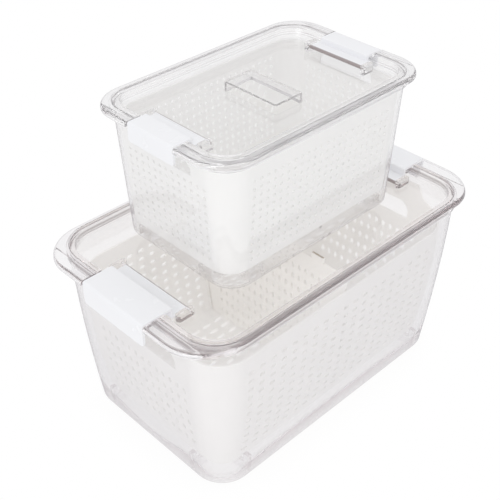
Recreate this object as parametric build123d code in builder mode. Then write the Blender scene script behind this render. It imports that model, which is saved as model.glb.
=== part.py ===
from build123d import *
import math
import os
from types import SimpleNamespace

# Two stacking fridge bins, each a tub with a basket, a lid and two clips. The large one
# also has a divider; the small one stands on the large lid.
# Millimetres, +Z up, origin at the centre of the large tub's base. X runs along the bins,
# the clips sit at the two X ends: rear at +X, front at -X.
# Heights are measured from each bin's own base. A rounded outline is written
# (length in X, width in Y, corner radius).

os.makedirs("parts", exist_ok=True)

# ---------------------------------------------------------------- sizes both bins have
LARGE = SimpleNamespace(
    origin=(0.0, 0.0, 0.0),
    # rim
    rim=(320.0, 192.0, 38.0),
    top=160.0,
    skirt=156.0,                    # lower edge of the rim skirt
    rim_round=3.6,
    rim_wall=2.3,
    rim_roof=2.4,
    # recess that takes the lid
    seat=(290.4, 183.8, 31.2),
    seat_wall=2.0,
    seat_low=150.2,                 # underside of the shelf
    seat_overlap=2.0,               # how far the seat wall runs up into the rim
    ledge=153.0,                    # shelf the lid rests on
    # openings for the clips in rim and lid, and the catch rib below each clip
    notch_width=70.8,
    notch_z=162.4,                  # centre of the cuts in seat wall and lid
    lid_notch_depth=12.0,
    gap_depth=20.0,
    gap_height=14.0,
    gap_z=156.0,
    catch=(11.8, 54.0, 2.4),
    catch_x=149.7,
    catch_z=147.2,
    # lid
    lid_gap=0.6,                    # all round, between lid and seat
    well=(280.8, 174.2, 26.4),      # recessed panel
    plug=(284.4, 178.2, 28.2),      # part that drops into the tub
    panel=150.0,                    # top of the recessed panel
    panel_t=2.0,
    platform=(44.0, 78.0, 4.0),
    platform_top=160.7,
    platform_taper=4.0,
    platform_round=1.0,
    hollow=(39.6, 73.6, 2.6),       # underside of the platform
    lug=(15.6, 5.6, 2.6),
    lug_height=5.6,
    lug_dx=4.6,                     # lug centre, outward from the hinge axis
    lug_dy=3.4,                     # lug centre, beyond the end of the strip
    bore_r=1.3,
    bore_extra=8.6,                 # bore length beyond the strip width
    # clip
    hinge_x=119.0,
    hinge_z=152.4,
    strip_width=70.0,
    plate_width=68.4,
    step_x=131.0,
    flap_x=159.0,
    flap_low=140.0,
    clip_t=2.0,
    flap_round=1.9,
    step_round=1.2,
    flap_corner=3.0,
    barrel_r=1.6,
    pin_r=1.2,
    pin_extra=6.8,                  # pin length beyond the strip width
    bead_r=0.8,
    bead_length=50.0,
    bead_z=143.4,
)
SMALL = SimpleNamespace(
    origin=(-1.9, 6.2, 161.0),
    rim=(218.2, 142.6, 28.7),
    top=113.3,
    skirt=109.4,
    rim_round=3.0,
    rim_wall=2.0,
    rim_roof=1.9,
    seat=(201.6, 132.4, 23.7),
    seat_wall=1.8,
    seat_low=104.8,
    seat_overlap=1.5,
    ledge=107.3,
    notch_width=49.6,
    notch_z=115.8,
    lid_notch_depth=14.0,
    gap_depth=16.0,
    gap_height=17.0,
    gap_z=113.3,
    catch=(5.8, 36.0, 1.8),
    catch_x=101.7,
    catch_z=102.0,
    lid_gap=0.5,
    well=(190.0, 121.2, 18.4),
    plug=(194.6, 125.4, 20.6),
    panel=103.3,
    panel_t=1.8,
    platform=(29.4, 55.0, 2.6),
    platform_top=110.5,
    platform_taper=3.0,
    platform_round=0.8,
    hollow=(25.4, 51.0, 1.4),
    lug=(12.4, 4.8, 2.2),
    lug_height=7.2,
    lug_dx=3.6,
    lug_dy=2.9,
    bore_r=1.2,
    bore_extra=7.4,
    hinge_x=80.0,
    hinge_z=108.0,
    strip_width=52.4,
    plate_width=47.6,
    step_x=90.0,
    flap_x=107.6,
    flap_low=98.4,
    clip_t=1.9,
    flap_round=1.7,
    step_round=1.0,
    flap_corner=2.4,
    barrel_r=1.5,
    pin_r=1.1,
    pin_extra=6.0,
    bead_r=0.6,
    bead_length=34.0,
    bead_z=100.6,
)
NOTCH_HEIGHT = 10.0                 # cuts in seat wall and lid
SEAT_NOTCH_DEPTH = 8.0
CUT_UP = 20.0                       # clears everything above a recess


# ---------------------------------------------------------------- helpers
def grown(outline, by):
    """rounded outline moved outward by a distance (inward when negative)"""
    x, y, radius = outline
    return x + 2 * by, y + 2 * by, radius + by


def level(spec, z):
    """horizontal plane at height z above a bin's base"""
    x, y, base = spec.origin
    return Plane((x, y, base + z))


def four(x, y, z):
    """the four mirror images of a point about the X and Y axes"""
    return [(sx * x, sy * y, z) for sx in (1, -1) for sy in (1, -1)]


def end_boxes(spec, x, z, size, mode=Mode.ADD):
    """one box at each X end of a bin, in the builder that is open"""
    with Locations(spec.origin), Locations((x, 0, z), (-x, 0, z)):
        Box(*size, mode=mode)


def save(part, name):
    part.label = name
    export_step(part, f"parts/{name}.step")


# ================================================================ shared by both bins
def rim_block(spec):
    """rim with a rolled outer edge, and the solid block the seat is cut from"""
    seat_outside = grown(spec.seat, spec.seat_wall)
    hollow_low = spec.skirt - 1
    with BuildPart() as block:
        with BuildSketch(level(spec, spec.skirt)):
            RectangleRounded(*spec.rim)
        extrude(amount=spec.top - spec.skirt)
        fillet(block.faces().sort_by(Axis.Z)[-1].edges(), spec.rim_round)
        with BuildSketch(level(spec, spec.seat_low)):
            RectangleRounded(*seat_outside)
        extrude(amount=spec.skirt + spec.seat_overlap - spec.seat_low)
        # hollow under the wide ends of the rim
        with BuildSketch(level(spec, hollow_low)):
            RectangleRounded(*grown(spec.rim, -spec.rim_wall))
            Rectangle(seat_outside[0], spec.rim[1], mode=Mode.SUBTRACT)
        extrude(amount=spec.top - spec.rim_roof - hollow_low, mode=Mode.SUBTRACT)
    return block.part


def fit_tub_for_clips(spec):
    """gaps in the rim, lowered seat wall behind them and catch ribs, in the open builder"""
    seat_x = spec.seat[0] / 2
    end_boxes(spec, seat_x + spec.seat_wall + spec.gap_depth / 2, spec.gap_z,
              (spec.gap_depth, spec.notch_width, spec.gap_height), Mode.SUBTRACT)
    end_boxes(spec, seat_x, spec.notch_z,
              (SEAT_NOTCH_DEPTH, spec.notch_width, NOTCH_HEIGHT), Mode.SUBTRACT)
    end_boxes(spec, spec.catch_x, spec.catch_z, spec.catch)


def build_lid(spec):
    outline = grown(spec.seat, -spec.lid_gap)
    underside = spec.panel - spec.panel_t
    platform_z = spec.origin[2] + spec.platform_top
    with BuildPart() as lid:
        with BuildSketch(level(spec, underside)):
            RectangleRounded(*spec.plug)
        extrude(amount=spec.ledge + 1.0 - underside)
        with BuildSketch(level(spec, spec.ledge + 0.3)):
            RectangleRounded(*outline)
        extrude(amount=spec.top - spec.ledge - 0.3)
        fillet(lid.faces().sort_by(Axis.Z)[-1].edges(), 0.8)
        with BuildSketch(level(spec, spec.panel)):
            RectangleRounded(*spec.well)
        extrude(amount=CUT_UP, mode=Mode.SUBTRACT)
        # raised platform in the middle of the panel, hollow from below
        with BuildSketch(level(spec, spec.panel - 0.5)):
            RectangleRounded(*spec.platform)
        extrude(amount=spec.platform_top - spec.panel + 0.5, taper=spec.platform_taper)
        fillet(lid.faces().filter_by(lambda f: abs(f.center().Z - platform_z) < 0.01).edges(),
               spec.platform_round)
        # starts 1 below the lid and leaves a roof as thick as the panel
        with BuildSketch(level(spec, underside - 1)):
            RectangleRounded(*spec.hollow)
        extrude(amount=spec.platform_top - spec.panel + 1, taper=spec.platform_taper,
                mode=Mode.SUBTRACT)
        # lowered rim where the clips pass
        end_boxes(spec, outline[0] / 2, spec.notch_z,
                  (spec.lid_notch_depth, spec.notch_width, NOTCH_HEIGHT), Mode.SUBTRACT)
        # hinge lugs at both ends of each clip
        lug_x = spec.hinge_x + spec.lug_dx
        lug_y = spec.strip_width / 2 + spec.lug_dy
        for side in (1, -1):
            with BuildSketch(level(spec, spec.panel - 0.5)):
                with Locations((side * lug_x, lug_y), (side * lug_x, -lug_y)):
                    RectangleRounded(*spec.lug)
            extrude(amount=spec.lug_height)
            with Locations(spec.origin), Locations((side * spec.hinge_x, 0, spec.hinge_z)):
                Cylinder(spec.bore_r, spec.strip_width + spec.bore_extra,
                         rotation=(90, 0, 0), mode=Mode.SUBTRACT)
    return lid.part


def clip_shape(spec):
    """clip for the +X end, drawn about the bin's own origin"""
    top, t = spec.top, spec.clip_t
    step_x, flap_x, flap_low = spec.step_x, spec.flap_x, spec.flap_low
    strip_low, strip_high = spec.hinge_z - t / 2, spec.hinge_z + t / 2
    with BuildPart() as clip:
        with BuildSketch(Plane.XZ.offset(-spec.plate_width / 2)):
            with BuildLine():
                Polyline((step_x, strip_high), (step_x, top),
                         (flap_x, top), (flap_x, flap_low),
                         (flap_x - t, flap_low), (flap_x - t, top - t),
                         (step_x + t, top - t), (step_x + t, strip_low),
                         (step_x - 3, strip_low), (step_x - 3, strip_high),
                         close=True)
            make_face()
        extrude(amount=spec.plate_width)
        for x, radius in ((flap_x, spec.flap_round), (step_x, spec.step_round)):
            fillet(clip.edges().filter_by(Axis.Y).filter_by(
                lambda e: abs(e.center().X - x) < 0.1 and abs(e.center().Z - top) < 0.1), radius)
        fillet(clip.edges().filter_by(Axis.X).filter_by(
            lambda e: abs(e.center().Z - flap_low) < 0.1), spec.flap_corner)
        # hinge strip, a little wider than the plate
        with Locations(((spec.hinge_x + step_x + t) / 2, 0, spec.hinge_z)):
            Box(step_x + t - spec.hinge_x, spec.strip_width, t)
        with Locations((spec.hinge_x, 0, spec.hinge_z)):
            Cylinder(spec.barrel_r, spec.strip_width, rotation=(90, 0, 0))
            Cylinder(spec.pin_r, spec.strip_width + spec.pin_extra, rotation=(90, 0, 0))
        # grip bead on the inside of the flap
        with Locations((flap_x - t, 0, spec.bead_z)):
            Cylinder(spec.bead_r, spec.bead_length, rotation=(90, 0, 0))
    return clip.part


def save_clips(spec, bin_name):
    clip = clip_shape(spec)
    with BuildPart() as rear:
        add(Pos(*spec.origin) * clip)
    save(rear.part, f"{bin_name}_clip_rear")
    with BuildPart() as front:
        add(Pos(*spec.origin) * mirror(clip, about=Plane.YZ, mode=Mode.PRIVATE))
    save(front.part, f"{bin_name}_clip_front")


# ================================================================ large tub
L_BASE = (266.8, 165.6, 26.0)       # wall just above the base
L_WALL = 2.0
L_FLOOR = 2.4
# wall stations: (height, inset from the wall's face)
L_STRAIGHT = tuple((z, 0.0) for z in (25.0, 50.0, 75.0, 100.0, 125.0))
L_OUTSIDE = ((0.0, 2.6), (0.8, 1.1), (1.8, 0.3), (3.0, 0.0), *L_STRAIGHT,
             (LARGE.seat_low + 1.0, 0.0))
L_INSIDE = ((L_FLOOR, 1.8), (L_FLOOR + 0.6, 0.6), (L_FLOOR + 1.8, 0.0), *L_STRAIGHT,
            (LARGE.ledge + 0.5, 0.0))
L_MIDDLE = ((1.0, 1.6), (3.0, 1.0), (12.0, 1.0), (26.0, 1.0))
# stepped ribs, one in each quarter: (centre), (box size)
L_RIBS = (
    ((125.0, 50.0, 7.7), (26.0, 4.0, 12.0)),
    ((137.0, 50.0, 12.7), (15.4, 4.0, 22.0)),
    ((104.0, 76.0, 7.7), (4.0, 26.0, 12.0)),
    ((104.0, 85.5, 12.7), (4.0, 15.4, 22.0)),
)


def large_wall(z):
    """outline of the wall's outside at height z (slightly bowed draft)"""
    spread = 0.119 * z - 0.000288 * z * z
    return (L_BASE[0] + 2 * spread, L_BASE[1] + 2 * 0.776 * spread,
            L_BASE[2] + 4.5 * z / LARGE.top)


def large_wall_loft(stations, depth=0.0):
    """solid through the wall stations, taken at a depth below the outside"""
    with BuildPart() as body:
        for z, inset in stations:
            with BuildSketch(Plane.XY.offset(z)):
                RectangleRounded(*grown(large_wall(z), -depth - inset))
        loft(ruled=True)
    return body.part


def large_tub_ribs():
    """the basket stands on the low steps, inside the high ones"""
    middle = large_wall_loft(L_MIDDLE)
    with BuildPart() as ribs:
        for centre, size in L_RIBS:
            with Locations(*four(*centre)):
                Box(*size)
        # ends the ribs inside the wall's thickness
        add(middle, mode=Mode.INTERSECT)
    return ribs.part


def build_large_tub():
    outside = large_wall_loft(L_OUTSIDE)
    inside = large_wall_loft(L_INSIDE, depth=L_WALL)
    ribs = large_tub_ribs()
    rim = rim_block(LARGE)
    with BuildPart() as tub:
        add(outside)
        add(rim)
        add(inside, mode=Mode.SUBTRACT)
        with BuildSketch(level(LARGE, LARGE.ledge)):
            RectangleRounded(*LARGE.seat)
        extrude(amount=CUT_UP, mode=Mode.SUBTRACT)
        fit_tub_for_clips(LARGE)
        add(ribs)
    return tub.part


# ================================================================ large basket
LB_LOW, LB_TOP = 14.0, 146.5
LB_SIDE = 130.5                     # top of the long walls
LB_OUTLINE = (271.2, 168.2, 27.6)   # outside at z 100
# (height, how far the wall stands out from that outline): it curves in towards the bottom
LB_CURVE = ((14.0, -10.3), (26.0, -8.0), (40.0, -5.6), (56.0, -3.4), (76.0, -1.5),
            (100.0, 0.0), (146.5, 1.4))
LB_LEAN_ABOVE = 0.03                # outward per mm of height above the last station
LB_WALL, LB_FLOOR = 1.6, 1.8
# grids of slots: pitch and count in each direction, height of the top row
LB_LONG_SLOT = (5.8, 3.4)           # lying, in the long walls
LB_LONG_GRID = (11.5, 8.7, 19, 11)
LB_LONG_TOP = 113.6
LB_END_SLOT = (5.6, 3.6)            # upright, in the end walls
LB_END_GRID = (8.08, 11.8, 13, 6)
LB_END_TOP = 91.8
LB_DRAIN_SLOT = (9.5, 3.2)
LB_DRAIN_GRID = (14.0, 9.5, 16, 13)
LB_FINGER_WIDTH, LB_FINGER_LOW, LB_FINGER_HIGH = 81.0, 108.5, 124.5
GUIDE_X, GUIDE_T, GUIDE_TOP = 2.0, 1.2, 125.0
GUIDE_DEPTH = 2.6                   # how far a guide rib stands in from the wall


def grid_middle(grid, top_row):
    """height of the middle of a slot grid, from that of its top row"""
    _, pitch, _, rows = grid
    return top_row - pitch * (rows - 1) / 2


def basket_offset(z):
    """how far the basket's wall stands out at height z"""
    for (z0, out0), (z1, out1) in zip(LB_CURVE, LB_CURVE[1:]):
        if z <= z1:
            return out0 + (out1 - out0) * (z - z0) / (z1 - z0)
    return LB_CURVE[-1][1] + LB_LEAN_ABOVE * (z - LB_CURVE[-1][0])


def basket_y(z):
    """half width of the basket's outside at height z"""
    return LB_OUTLINE[1] / 2 + basket_offset(z)


def basket_levels(low, high):
    """low, high and the heights between them at which the wall changes its lean"""
    return [low] + [z for z, _ in LB_CURVE if low < z < high] + [high]


def large_basket_body(low, high, inset, bottom_round):
    levels = basket_levels(low, high)
    with BuildPart() as body:
        for z0, z1 in zip(levels, levels[1:]):
            out0, out1 = basket_offset(z0) - inset, basket_offset(z1) - inset
            with BuildSketch(Plane.XY.offset(z0)):
                RectangleRounded(*grown(LB_OUTLINE, out0))
            extrude(amount=z1 - z0, taper=-math.degrees(math.atan((out1 - out0) / (z1 - z0))))
        fillet(body.faces().sort_by(Axis.Z)[0].edges(), bottom_round)
    return body.part


def divider_guides():
    """a pair of upright ribs on each long wall, with the divider between them"""
    levels = basket_levels(LB_LOW + 2.6, GUIDE_TOP)
    with BuildPart() as guides:
        for side in (1, -1):
            outer = [(side * (basket_y(z) - 0.7), z) for z in levels]
            inner = [(side * (basket_y(z) - LB_WALL - GUIDE_DEPTH), z) for z in levels]
            for x in (GUIDE_X, -GUIDE_X):
                with BuildSketch(Plane.YZ.offset(x - GUIDE_T / 2)):
                    with BuildLine():
                        Polyline(*outer, *inner[::-1], close=True)
                    make_face()
                extrude(amount=GUIDE_T)
    return guides.part


def build_large_basket():
    outside = large_basket_body(LB_LOW, LB_TOP, inset=0.0, bottom_round=4.0)
    inside = large_basket_body(LB_LOW + LB_FLOOR, LB_TOP + 4, inset=LB_WALL, bottom_round=2.4)
    guides = divider_guides()
    low, high = LB_SIDE, LB_TOP + 2
    with BuildPart() as basket:
        add(outside)
        add(inside, mode=Mode.SUBTRACT)
        # long sides cut lower than the ends, with an S-shaped run at each corner
        for side in (1, -1):
            with BuildSketch(Plane.YZ.offset(-200)):
                with BuildLine():
                    Spline((side * 47, high), (side * 56, low + 4.0),
                           (side * 66, low + 0.7), (side * 79, low),
                           tangents=[(side * 1, -1.6), (side * 1, -0.02)])
                    Line((side * 79, low), (side * 120, low))
                    Line((side * 120, low), (side * 120, high))
                    Line((side * 120, high), (side * 47, high))
                make_face()
            extrude(amount=400, mode=Mode.SUBTRACT)
        # finger slots in the end walls
        with BuildSketch(Plane.YZ.offset(-200)) as finger:
            with Locations((0, (LB_FINGER_LOW + LB_FINGER_HIGH) / 2)):
                Rectangle(LB_FINGER_WIDTH, LB_FINGER_HIGH - LB_FINGER_LOW)
            fillet(finger.vertices().group_by(Axis.Y)[-1], 9.5)
        extrude(amount=400, mode=Mode.SUBTRACT)
        # wall slots, each grid cut through two opposite walls at once
        with BuildSketch(Plane.XZ.offset(-120)):
            with Locations((0, grid_middle(LB_LONG_GRID, LB_LONG_TOP))):
                with GridLocations(*LB_LONG_GRID):
                    SlotOverall(*LB_LONG_SLOT)
        extrude(amount=240, mode=Mode.SUBTRACT)
        with BuildSketch(Plane.YZ.offset(-200)):
            with Locations((0, grid_middle(LB_END_GRID, LB_END_TOP))):
                with GridLocations(*LB_END_GRID):
                    SlotOverall(*LB_END_SLOT, rotation=90)
        extrude(amount=400, mode=Mode.SUBTRACT)
        # drain slots in the floor; an even number of columns leaves x = 0 clear
        with BuildSketch(Plane.XY.offset(LB_LOW - 5)):
            with GridLocations(*LB_DRAIN_GRID):
                SlotOverall(*LB_DRAIN_SLOT)
        extrude(amount=10, mode=Mode.SUBTRACT)
        add(guides)
    return basket.part


# ================================================================ large divider
DIVIDER_T = 2.0
DIVIDER_LOW, DIVIDER_TOP = 16.4, 141.5
DIVIDER_GAP = 0.8                   # to the basket's wall on each side
DIVIDER_SLOT = (5.2, 3.2)
DIVIDER_GRID = (7.2, 11.15, 17, 10)
DIVIDER_TOP_ROW = 124.5


def build_large_divider():
    side = [(basket_y(z) - LB_WALL - DIVIDER_GAP, z)
            for z in basket_levels(DIVIDER_LOW + 3.0, DIVIDER_TOP)]
    right = [(side[0][0] - 3.2, DIVIDER_LOW)] + side        # bevelled bottom corner first
    left = [(-y, z) for y, z in right[::-1]]
    with BuildPart() as divider:
        with BuildSketch(Plane.YZ.offset(-DIVIDER_T / 2)):
            with BuildLine():
                Polyline(*right, *left, close=True)
            make_face()
            # two tabs on the top edge
            with Locations((54, DIVIDER_TOP + 2.6), (-54, DIVIDER_TOP + 2.6)):
                Rectangle(12, 5.6)
            with Locations((0, grid_middle(DIVIDER_GRID, DIVIDER_TOP_ROW))):
                with GridLocations(*DIVIDER_GRID):
                    SlotOverall(*DIVIDER_SLOT, rotation=90, mode=Mode.SUBTRACT)
        extrude(amount=DIVIDER_T)
    return divider.part


# ================================================================ small tub
S_BASE = (185.0, 123.0, 19.5)
S_MOUTH = (199.8, 130.6, 23.0)      # wall at the ledge
S_WALL = 1.8
S_FLOOR = 2.2
# ribs that hold the basket above the floor, ending inside the wall: (centre), (box size)
S_RIBS = (
    ((86.3, 34.0, 6.3), (11.4, 14.0, 8.8)),
    ((66.0, 55.2, 6.3), (14.0, 11.2, 8.8)),
)


def small_tub_inside():
    share = S_FLOOR / SMALL.ledge
    floor_x, floor_y = (base + (mouth - base) * share - 2 * S_WALL
                        for base, mouth in zip(S_BASE[:2], S_MOUTH[:2]))
    with BuildPart() as inside:
        with BuildSketch(level(SMALL, S_FLOOR)):
            RectangleRounded(floor_x, floor_y, S_BASE[2] - S_WALL)
        with BuildSketch(level(SMALL, SMALL.ledge)):
            RectangleRounded(*grown(S_MOUTH, -S_WALL))
        loft(ruled=True)
        fillet(inside.faces().sort_by(Axis.Z)[0].edges(), 1.6)
    return inside.part


def build_small_tub():
    inside = small_tub_inside()
    rim = rim_block(SMALL)
    with BuildPart() as tub:
        with BuildSketch(level(SMALL, 0)):
            RectangleRounded(*S_BASE)
        with BuildSketch(level(SMALL, SMALL.ledge)):
            RectangleRounded(*S_MOUTH)
        loft(ruled=True)
        fillet(tub.faces().sort_by(Axis.Z)[0].edges(), 2.6)
        add(rim)
        add(inside, mode=Mode.SUBTRACT)
        with BuildSketch(level(SMALL, SMALL.ledge)):
            RectangleRounded(*SMALL.seat)
        extrude(amount=CUT_UP, mode=Mode.SUBTRACT)
        fit_tub_for_clips(SMALL)
        for centre, size in S_RIBS:
            with Locations(SMALL.origin), Locations(*four(*centre)):
                Box(*size)
    return tub.part


# ================================================================ small basket
SB_LOW, SB_TOP = 11.0, 100.8
SB_OUTLINE = (181.6, 116.0, 17.0)   # outside at the bottom
SB_DRAFT = 2.8
SB_WALL, SB_FLOOR = 1.5, 1.6
SB_HOLE_R = 1.55
SB_LONG_GRID = (6.67, 6.67, 22, 11)
SB_LONG_TOP = 87.8
SB_END_GRID = (6.55, 6.5, 13, 10)
SB_END_TOP = 81.2
SB_DRAIN_SLOT = (8.5, 3.0)
SB_DRAIN_GRID = (12.5, 8.5, 12, 11)
SB_FINGER_WIDTH, SB_FINGER_LOW, SB_FINGER_HIGH = 54.0, 87.4, 98.0


def small_basket_body(outline, low, height, bottom_round):
    with BuildPart() as body:
        with BuildSketch(level(SMALL, low)):
            RectangleRounded(*outline)
        extrude(amount=height, taper=-SB_DRAFT)
        fillet(body.faces().sort_by(Axis.Z)[0].edges(), bottom_round)
    return body.part


def build_small_basket():
    x, y, base = SMALL.origin
    height = SB_TOP - SB_LOW
    outside = small_basket_body(SB_OUTLINE, SB_LOW, height, bottom_round=3.5)
    # the draft widens the inside at floor level; its corner radius leaves the draft out
    widening = 2 * SB_FLOOR * math.tan(math.radians(SB_DRAFT))
    inner_x, inner_y, inner_r = grown(SB_OUTLINE, -SB_WALL)
    inside = small_basket_body((inner_x + widening, inner_y + widening, inner_r),
                               SB_LOW + SB_FLOOR, height + 4, bottom_round=2.0)
    with BuildPart() as basket:
        add(outside)
        add(inside, mode=Mode.SUBTRACT)
        # finger slots in the end walls
        with BuildSketch(Plane.YZ.offset(x - 150)) as finger:
            with Locations((y, base + (SB_FINGER_LOW + SB_FINGER_HIGH) / 2)):
                Rectangle(SB_FINGER_WIDTH, SB_FINGER_HIGH - SB_FINGER_LOW)
            fillet(finger.vertices().group_by(Axis.Y)[-1], 7.0)
        extrude(amount=300, mode=Mode.SUBTRACT)
        # round holes, each grid cut through two opposite walls at once
        with BuildSketch(Plane.XZ.offset(-y - 100)):
            with Locations((x, base + grid_middle(SB_LONG_GRID, SB_LONG_TOP))):
                with GridLocations(*SB_LONG_GRID):
                    Circle(SB_HOLE_R)
        extrude(amount=200, mode=Mode.SUBTRACT)
        with BuildSketch(Plane.YZ.offset(x - 150)):
            with Locations((y, base + grid_middle(SB_END_GRID, SB_END_TOP))):
                with GridLocations(*SB_END_GRID):
                    Circle(SB_HOLE_R)
        extrude(amount=300, mode=Mode.SUBTRACT)
        # drain slots in the floor
        with BuildSketch(level(SMALL, SB_LOW - 5)):
            with GridLocations(*SB_DRAIN_GRID):
                SlotOverall(*SB_DRAIN_SLOT)
        extrude(amount=10, mode=Mode.SUBTRACT)
    return basket.part


# ================================================================ all pieces
save(build_large_tub(), "large_tub")
save(build_large_basket(), "large_basket")
save(build_large_divider(), "large_divider")
save(build_lid(LARGE), "large_lid")
save_clips(LARGE, "large")
save(build_small_tub(), "small_tub")
save(build_small_basket(), "small_basket")
save(build_lid(SMALL), "small_lid")
save_clips(SMALL, "small")
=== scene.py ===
"""Two food containers, large and small, each a clear tub and lid with a white
basket inside and two white clips; the large one also has a white divider.

Units are metres with +Z up. The floor lies just under Z = 0. Each container has
its front clip towards -X and its rear clip towards +X.
"""
import math

import bpy
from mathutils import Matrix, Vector

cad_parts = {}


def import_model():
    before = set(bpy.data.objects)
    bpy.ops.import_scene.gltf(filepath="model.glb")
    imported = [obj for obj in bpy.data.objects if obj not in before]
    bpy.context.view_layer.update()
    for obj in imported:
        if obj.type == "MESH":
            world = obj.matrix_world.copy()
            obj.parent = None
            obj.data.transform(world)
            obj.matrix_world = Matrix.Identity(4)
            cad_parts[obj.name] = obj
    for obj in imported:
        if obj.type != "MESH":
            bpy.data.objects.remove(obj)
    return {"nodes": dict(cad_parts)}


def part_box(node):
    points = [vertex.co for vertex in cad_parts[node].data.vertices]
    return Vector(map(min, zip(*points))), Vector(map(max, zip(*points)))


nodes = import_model()["nodes"]
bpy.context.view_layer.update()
scene = bpy.context.scene


# ------------------------------------------------------------------ node helpers
class Tree:
    """Builds a node tree from calls. Colours are given as three numbers."""

    def __init__(self, tree):
        self.tree = tree
        self.tree.nodes.clear()

    def add(self, kind, **values):
        """Add a node. A key is a node setting, or an input with _ for its spaces."""
        node = self.tree.nodes.new(kind)
        for key, value in values.items():
            if hasattr(node, key):
                setattr(node, key, value)
            else:
                self.put(node, key.replace("_", " "), value)
        return node

    def put(self, node, key, value):
        """Link a socket or a node's first output to an input, or set its value."""
        self.fill(node.inputs[key], value)

    def fill(self, socket, value):
        if isinstance(value, bpy.types.NodeSocket):
            self.tree.links.new(value, socket)
        elif isinstance(value, bpy.types.Node):
            self.tree.links.new(value.outputs[0], socket)
        elif socket.type == "RGBA":
            socket.default_value = (*value, 1.0)
        else:
            socket.default_value = value

    def math(self, operation, *values, clamp=False):
        node = self.add("ShaderNodeMath", operation=operation, use_clamp=clamp)
        for i, value in enumerate(values):
            self.put(node, i, value)
        return node.outputs[0]

    def ramp(self, value, *stops):
        """Colour ramp; each stop is (position, colour)."""
        node = self.add("ShaderNodeValToRGB")
        elements = node.color_ramp.elements
        while len(elements) < len(stops):
            elements.new(0.5)
        for element, (position, colour) in zip(elements, stops):
            element.position = position
            element.color = (*colour, 1.0)
        self.put(node, 0, value)
        return node.outputs[0]

    def span(self, value, source, target):
        """Map the source range to the target range, held at both ends."""
        node = self.add("ShaderNodeMapRange", clamp=True, Value=value,
                        From_Min=source[0], From_Max=source[1],
                        To_Min=target[0], To_Max=target[1])
        return node.outputs[0]

    def noise(self, vector, scale, detail=2.0, rough=0.5, distortion=0.0):
        node = self.add("ShaderNodeTexNoise", Vector=vector, Scale=scale, Detail=detail,
                        Roughness=rough, Distortion=distortion)
        return node.outputs["Fac"]

    def coordinates(self, kind):
        return self.add("ShaderNodeTexCoord").outputs[kind]

    def axis(self, vector, name):
        node = self.add("ShaderNodeSeparateXYZ")
        self.put(node, 0, vector)
        return node.outputs[name]

    def mix_colour(self, share, first, second, blend="MIX"):
        node = self.add("ShaderNodeMix", data_type="RGBA", blend_type=blend)
        self.put(node, 0, share)
        ends = [socket for socket in node.inputs if socket.type == "RGBA"]
        self.fill(ends[0], first)
        self.fill(ends[1], second)
        return [socket for socket in node.outputs if socket.type == "RGBA"][0]

    def mix_shader(self, share, first, second):
        node = self.add("ShaderNodeMixShader")
        for i, value in enumerate((share, first, second)):
            self.put(node, i, value)
        return node


def new_material(name):
    made = bpy.data.materials.new(name)
    made.use_nodes = True
    return made, Tree(made.node_tree)


def darker(colour):
    """The low end of the slow tone variation in a plastic."""
    return tuple(c * 0.985 for c in colour)


# ------------------------------------------------------------------ clear plastic
HAZE_BODY = (0.86, 0.85, 0.86)      # pale film of handling haze
HAZE_SHARE = 0.025
# painted shade: dark colour mixed in at low angles, standing in for dark reflections along the
# edges
PAINTED_EDGE_SHADE = (0.20, 0.18, 0.21)   # seen at a low angle
# painted shade in the gap between lid and seat
SEAT_SHADE_BROWN = (0.10, 0.055, 0.055)
LINE_FADE = 0.0004                  # soft edge above and below the seat line
FOOT_FADE = (0.0004, 0.0009)        # heights above the foot where it turns solid


def add_painted_seat_shade(t, place, surface, low, high, strength):
    """Painted shade: a dark brown line round the upright seat wall, between two heights,
    standing in for the shade in the gap between lid and seat.
    """
    height = t.axis(place, "Z")
    band = t.math("MULTIPLY",
                  t.span(height, source=(low - LINE_FADE, low), target=(0.0, strength)),
                  t.span(height, source=(high, high + LINE_FADE), target=(1.0, 0.0)))
    seat_shade = t.add("ShaderNodeBsdfDiffuse", Roughness=0.3, Color=SEAT_SHADE_BROWN)
    return t.mix_shader(band, surface, seat_shade)


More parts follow.
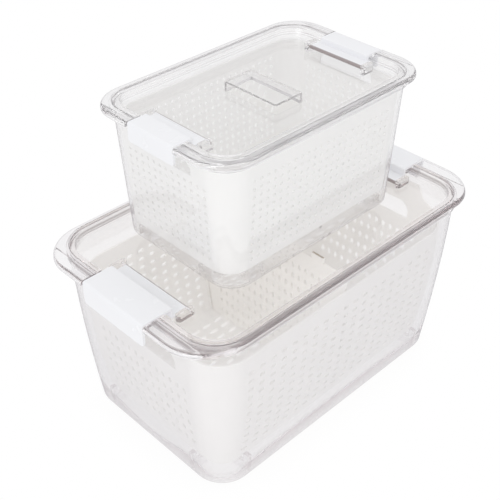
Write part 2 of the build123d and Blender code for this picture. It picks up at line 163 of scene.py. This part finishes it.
def clear_plastic(name, tint, rough, density, absorb, edge, falloff,
                  flow=(1.0, 1.0, 1.0), foot=None, line=None):
    """Clear moulded plastic with flow waviness, handling haze and painted dark edges at low
    angles, which stand in for dark reflections.

    rough: roughness range; density, absorb: depth colour; edge, falloff: strength
    and sharpness of the painted dark edges; flow: noise stretch; foot: underside height;
    line: arguments of add_painted_seat_shade, the painted shade line.
    """
    made, t = new_material(name)
    place = t.coordinates("Object")
    stretched = t.add("ShaderNodeMapping", Vector=place, Scale=flow).outputs[0]
    ripple = t.noise(stretched, scale=18.0, detail=1.0, rough=0.4, distortion=0.3)
    haze = t.noise(stretched, scale=95.0, detail=4.0, rough=0.6)
    speck = t.noise(place, scale=900.0)
    wavy = t.add("ShaderNodeBump", Strength=0.05, Distance=0.0012, Height=ripple)
    relief = t.add("ShaderNodeBump", Strength=0.03, Distance=0.0002, Height=speck, Normal=wavy)

    roughness = t.span(haze, source=(0.35, 0.75), target=rough)
    colour = t.ramp(t.noise(place, scale=7.0), (0.3, darker(tint)), (0.7, tint))
    glass = t.add("ShaderNodeBsdfPrincipled", Roughness=roughness, IOR=1.52, Base_Color=colour,
                  Transmission_Weight=1.0, Normal=relief)
    clear = t.add("ShaderNodeBsdfTransparent", Color=(0.998, 0.998, 0.998))

    # Painted shade: for camera rays a dark diffuse is mixed in at low angles, standing in for
    # the dark reflections along the edges of the clear plastic.
    facing = t.add("ShaderNodeLayerWeight", Blend=0.5).outputs["Facing"]
    painted_edge_share = t.math("MULTIPLY", t.math("POWER", facing, falloff), edge)
    mist = t.span(haze, source=(0.35, 0.7), target=(HAZE_SHARE * 0.8, HAZE_SHARE * 1.2))
    film = t.add("ShaderNodeBsdfDiffuse", Roughness=0.3, Color=HAZE_BODY, Normal=relief)
    dark = t.add("ShaderNodeBsdfDiffuse", Roughness=0.3, Color=PAINTED_EDGE_SHADE)
    misty = t.mix_shader(mist, glass, film)
    camera_ray = t.add("ShaderNodeLightPath").outputs["Is Camera Ray"]
    surface = t.mix_shader(t.math("MULTIPLY", painted_edge_share, camera_ray), misty, dark)
    if line is not None:
        surface = add_painted_seat_shade(t, place, surface, **line)

    # Shadow and diffuse rays pass straight through.
    path = t.add("ShaderNodeLightPath")
    through = t.math("MAXIMUM", path.outputs["Is Shadow Ray"], path.outputs["Is Diffuse Ray"])
    if foot is not None:
        # The flat underside lies on what it stands on, so it doesn't trap light.
        underside = t.span(t.axis(place, "Z"), target=(1.0, 0.0),
                           source=(foot + FOOT_FADE[0], foot + FOOT_FADE[1]))
        through = t.math("MAXIMUM", through, underside)
    depth = t.add("ShaderNodeVolumeAbsorption", Density=density, Color=absorb)
    t.add("ShaderNodeOutputMaterial", Surface=t.mix_shader(through, surface, clear),
          Volume=depth)
    return made


# ------------------------------------------------------------------ white plastic
# painted contact shadow along the seam beside each clip
SEAM_SHADOW_PAINT = (0.22, 0.18, 0.18)
SEAM_FADE = (0.0013, 0.0018)        # distances from the seam where it fades out
SLOT_REACH = 0.004                  # how far the slot shadow looks for walls


def white_plastic(name, colour, rough, grain, grain_depth, milky, coat=0.0, ripple=0.06,
                  fleck_low=0.982, shadow_line_x=None, slot_shade=None, lit_bounce_colour=None):
    """Opaque white moulded plastic with fine grain, soft tone and polished patches.

    rough: roughness range; grain, grain_depth: noise scale and bump strength;
    milky: translucent share; ripple: slow bump strength; fleck_low: darkest fleck;
    shadow_line_x: X of the painted contact shadow at the seam; slot_shade: colour of shadow in
    narrow slots;
    lit_bounce_colour: lighter, warmer colour met by diffuse rays, painted light that brightens
    the inside.
    """
    made, t = new_material(name)
    place = t.coordinates("Object")
    tone = t.noise(place, scale=14.0, detail=3.0)
    dust = t.noise(place, scale=160.0, detail=4.0, rough=0.65)
    fine = t.noise(place, scale=grain, rough=0.6)
    wave = t.noise(place, scale=24.0, detail=1.0, rough=0.4)
    base = t.ramp(tone, (0.32, darker(colour)), (0.68, colour))
    fleck = t.ramp(dust, (0.30, (fleck_low, fleck_low, fleck_low - 0.003)),
                   (0.45, (1.0, 1.0, 1.0)))
    shade = t.mix_colour(1.0, base, fleck, blend="MULTIPLY")
    if shadow_line_x is not None:
        # Painted shadow: a dark line where the edge of the strip meets the lid, standing in
        # for the contact shadow there.
        away = t.math("ABSOLUTE", t.math("SUBTRACT", t.axis(place, "X"), shadow_line_x))
        shade = t.mix_colour(t.span(away, source=SEAM_FADE, target=(1.0, 0.0)),
                             shade, SEAM_SHADOW_PAINT)
    if slot_shade is not None:
        # The narrow slots hold shadow.
        near = t.add("ShaderNodeAmbientOcclusion", samples=6, Distance=SLOT_REACH)
        dim = t.ramp(near.outputs["AO"], (0.25, slot_shade), (0.72, (1.0, 1.0, 1.0)))
        shade = t.mix_colour(1.0, shade, dim, blend="MULTIPLY")
    if lit_bounce_colour is not None:
        # Painted light: diffuse rays meet a lighter, warmer colour than the camera sees,
        # standing in for light passed on through the thin wall, which brightens the inside.
        diffuse_ray = t.add("ShaderNodeLightPath").outputs["Is Diffuse Ray"]
        shade = t.mix_colour(diffuse_ray, shade, lit_bounce_colour)

    wavy = t.add("ShaderNodeBump", Strength=ripple, Distance=0.0006, Height=wave)
    relief = t.add("ShaderNodeBump", Strength=grain_depth, Distance=0.00015, Height=fine,
                   Normal=wavy)
    patches = t.noise(place, scale=60.0, detail=3.0, rough=0.6)
    roughness = t.span(patches, source=(0.3, 0.7), target=rough)
    solid = t.add("ShaderNodeBsdfPrincipled", Roughness=roughness, IOR=1.49, Base_Color=shade,
                  Normal=relief, Coat_Weight=coat, Coat_Roughness=0.12)
    glow = t.add("ShaderNodeBsdfTranslucent", Color=shade, Normal=relief)
    t.add("ShaderNodeOutputMaterial", Surface=t.mix_shader(milky, solid, glow))
    return made


# ------------------------------------------------------------------ finishes
LARGE_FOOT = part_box("large_tub")[0][2]
SMALL_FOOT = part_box("small_tub")[0][2]
LARGE_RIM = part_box("large_tub")[1][2]
# Heights and strength of the painted shade line round the large tub's seat wall.
PAINTED_SEAT_LINE = dict(low=LARGE_RIM - 0.0066, high=LARGE_RIM - 0.0048, strength=0.42)

TUB = dict(rough=(0.02, 0.06), edge=0.80, falloff=3.1)
LID = dict(rough=(0.02, 0.05), edge=0.72, falloff=3.5)
SMALL_ABSORB = (0.62, 0.60, 0.61)

GRAIN = dict(grain=2600.0, grain_depth=0.10)
BASKET = dict(colour=(0.935, 0.931, 0.922), rough=(0.30, 0.42), milky=0.20, **GRAIN)
# Lighter, warmer colour met by diffuse rays: painted light that brightens the inside of the
# basket and divider.
LIT_BOUNCE_WHITE = (0.968, 0.960, 0.948)
CLIP = dict(colour=(0.815, 0.822, 0.855), rough=(0.24, 0.28), grain=1800.0, grain_depth=0.04,
            coat=0.06, milky=0.10, ripple=0.0, fleck_low=0.994)
# X of the painted contact shadow at the seam beside each clip
CLIP_SHADOW_LINES = {"large_clip_front": -0.1174, "large_clip_rear": 0.1174,
              "small_clip_front": -0.0804, "small_clip_rear": 0.0766}

CLEAR_FINISHES = {
    "large_tub": clear_plastic("clear_tub_large", tint=(0.968, 0.968, 0.976), density=34.0,
                               absorb=(0.60, 0.50, 0.52), flow=(1.0, 1.0, 0.45),
                               foot=LARGE_FOOT, line=PAINTED_SEAT_LINE, **TUB),
    "small_tub": clear_plastic("clear_tub_small", tint=(0.976, 0.976, 0.978), density=22.0,
                               absorb=SMALL_ABSORB, flow=(1.0, 1.0, 0.5),
                               foot=SMALL_FOOT, **TUB),
    "large_lid": clear_plastic("clear_lid_large", tint=(0.999, 0.993, 0.984), density=26.0,
                               absorb=(0.60, 0.49, 0.48), **LID),
    "small_lid": clear_plastic("clear_lid_small", tint=(0.982, 0.980, 0.981), density=20.0,
                               absorb=SMALL_ABSORB, **LID),
}
BASKET_FINISHES = {
    "large_basket": white_plastic("white_basket_large", lit_bounce_colour=LIT_BOUNCE_WHITE, **BASKET),
    "small_basket": white_plastic("white_basket_small", **BASKET),
    # Painted light: the divider's white is lighter and warmer than the basket's, which
    # brightens it inside the shaded basket.
    "large_divider": white_plastic("white_divider", colour=(0.985, 0.975, 0.95),
                                   rough=(0.34, 0.46), milky=0.12, lit_bounce_colour=LIT_BOUNCE_WHITE,
                                   slot_shade=(0.30, 0.24, 0.18), **GRAIN),
}
CLIP_FINISHES = {name: white_plastic(f"white_{name}", shadow_line_x=x, **CLIP)
                 for name, x in CLIP_SHADOW_LINES.items()}
SLOTS = {"clear_plastic": CLEAR_FINISHES, "white_basket_plastic": BASKET_FINISHES,
         "white_clip_plastic": CLIP_FINISHES}
FINISHES = {name: (made, slot) for slot, group in SLOTS.items()
            for name, made in group.items()}


def dress(piece, finish, slot):
    """Give a piece its material, and smooth shading that breaks at sharp edges."""
    piece.data.materials.clear()
    piece.data.materials.append(finish)
    piece.data.polygons.foreach_set("use_smooth", [True] * len(piece.data.polygons))
    weld = piece.modifiers.new("weld", "WELD")
    weld.merge_threshold = 1e-6
    split = piece.modifiers.new("split", "EDGE_SPLIT")
    split.split_angle = math.radians(28)


for name, piece in nodes.items():
    dress(piece, *FINISHES[name])


# ------------------------------------------------------------------ floor
def floor_material():
    """Glowing white floor with a faint painted contact shadow where the pieces stand close."""
    made, t = new_material("floor_pale")
    near = t.add("ShaderNodeAmbientOcclusion", samples=8, Distance=0.05)
    shade = t.ramp(near.outputs["AO"], (0.0, (0.95, 0.945, 0.94)), (0.75, (1.0, 1.0, 1.0)))
    glow = t.add("ShaderNodeEmission", Strength=1.0, Color=shade)
    matte = t.add("ShaderNodeBsdfDiffuse", Color=(0.85, 0.85, 0.85))
    matte_share = 0.0   # raise to make the floor take light and shadow
    t.add("ShaderNodeOutputMaterial", Surface=t.mix_shader(matte_share, glow, matte))
    return made


bpy.ops.mesh.primitive_plane_add(size=8.0, location=(0, 0, -0.0004))
floor = bpy.context.object
floor.name = "floor"
floor.data.materials.append(floor_material())


# ------------------------------------------------------------------ world
# Ramp stops from straight down (0) through the horizon (0.5) to straight up (1).
# The clear plastic mirrors and bends a bright ceiling over a darker, warmer room.
ROOM = ((0.50, (0.94, 0.93, 0.93)), (0.56, (0.84, 0.81, 0.82)), (0.60, (0.50, 0.44, 0.46)),
        (0.66, (0.74, 0.72, 0.73)), (0.75, (0.94, 0.94, 0.95)), (1.0, (1.0, 1.0, 1.0)))
# Diffuse light comes from an even sky.
EVEN = ((0.5, (0.86, 0.86, 0.86)), (0.8, (1.06, 1.06, 1.055)))


def build_world():
    world = bpy.data.worlds.new("studio")
    scene.world = world
    world.use_nodes = True
    t = Tree(world.node_tree)
    rays = t.add("ShaderNodeLightPath").outputs
    height = t.axis(t.coordinates("Generated"), "Z")
    room, even = [t.ramp(t.span(height, source=(-1.0, 1.0), target=(0.0, 1.0)), *stops)
                  for stops in (ROOM, EVEN)]
    mirror = t.math("MAXIMUM", rays["Is Glossy Ray"], rays["Is Transmission Ray"])
    sees_room = t.math("SUBTRACT", mirror, rays["Is Diffuse Ray"], clamp=True)
    lit = t.mix_colour(sees_room, even, room)
    # The camera itself sees plain white.
    final = t.mix_colour(rays["Is Camera Ray"], lit, (1.0, 1.0, 1.0))
    sky = t.add("ShaderNodeBackground", Strength=1.0, Color=final)
    t.add("ShaderNodeOutputWorld", Surface=sky)


build_world()


# ------------------------------------------------------------------ lights
def softbox(name, place, aim, size, power):
    """Square area light turned towards a point."""
    data = bpy.data.lights.new(name, "AREA")
    data.shape = "RECTANGLE"
    data.size = size
    data.size_y = size
    data.energy = power
    light = bpy.data.objects.new(name, data)
    scene.collection.objects.link(light)
    light.location = place
    light.rotation_euler = (Vector(aim) - Vector(place)).to_track_quat("-Z", "Y").to_euler()


softbox("key", place=(-1.65, -0.55, 0.85), aim=(0, 0, 0.12), size=0.8, power=5.6)
softbox("top", place=(0.2, 0.3, 1.7), aim=(0, 0, 0.1), size=1.2, power=0.8)

# ------------------------------------------------------------------ camera
AZIMUTH = math.radians(-44.4)    # turn about Z, from -Y towards -X
ELEVATION = math.radians(36.9)

lens = bpy.data.cameras.new("camera")
lens.sensor_width = 36.0
lens.lens = 66.9888
lens.clip_start = 0.01
camera = bpy.data.objects.new("camera", lens)
scene.collection.objects.link(camera)
backward = Vector((math.sin(AZIMUTH) * math.cos(ELEVATION),
                   -math.cos(AZIMUTH) * math.cos(ELEVATION),
                   math.sin(ELEVATION)))
camera.location = (-0.4412, -0.4288, 0.5855)
camera.rotation_euler = (-backward).to_track_quat("-Z", "Y").to_euler()
scene.camera = camera

# ------------------------------------------------------------------ render settings
view = scene.view_settings
view.view_transform = "Standard"
view.look = "None"
view.exposure = 0.0
view.gamma = 1.45

# Many bounces, so that light gets through the stacked clear walls.
cycles = scene.cycles
cycles.max_bounces = 40
cycles.transmission_bounces = 40
cycles.glossy_bounces = 40
cycles.diffuse_bounces = 10
cycles.transparent_max_bounces = 48
cycles.caustics_reflective = False
cycles.caustics_refractive = False
cycles.use_denoising = True
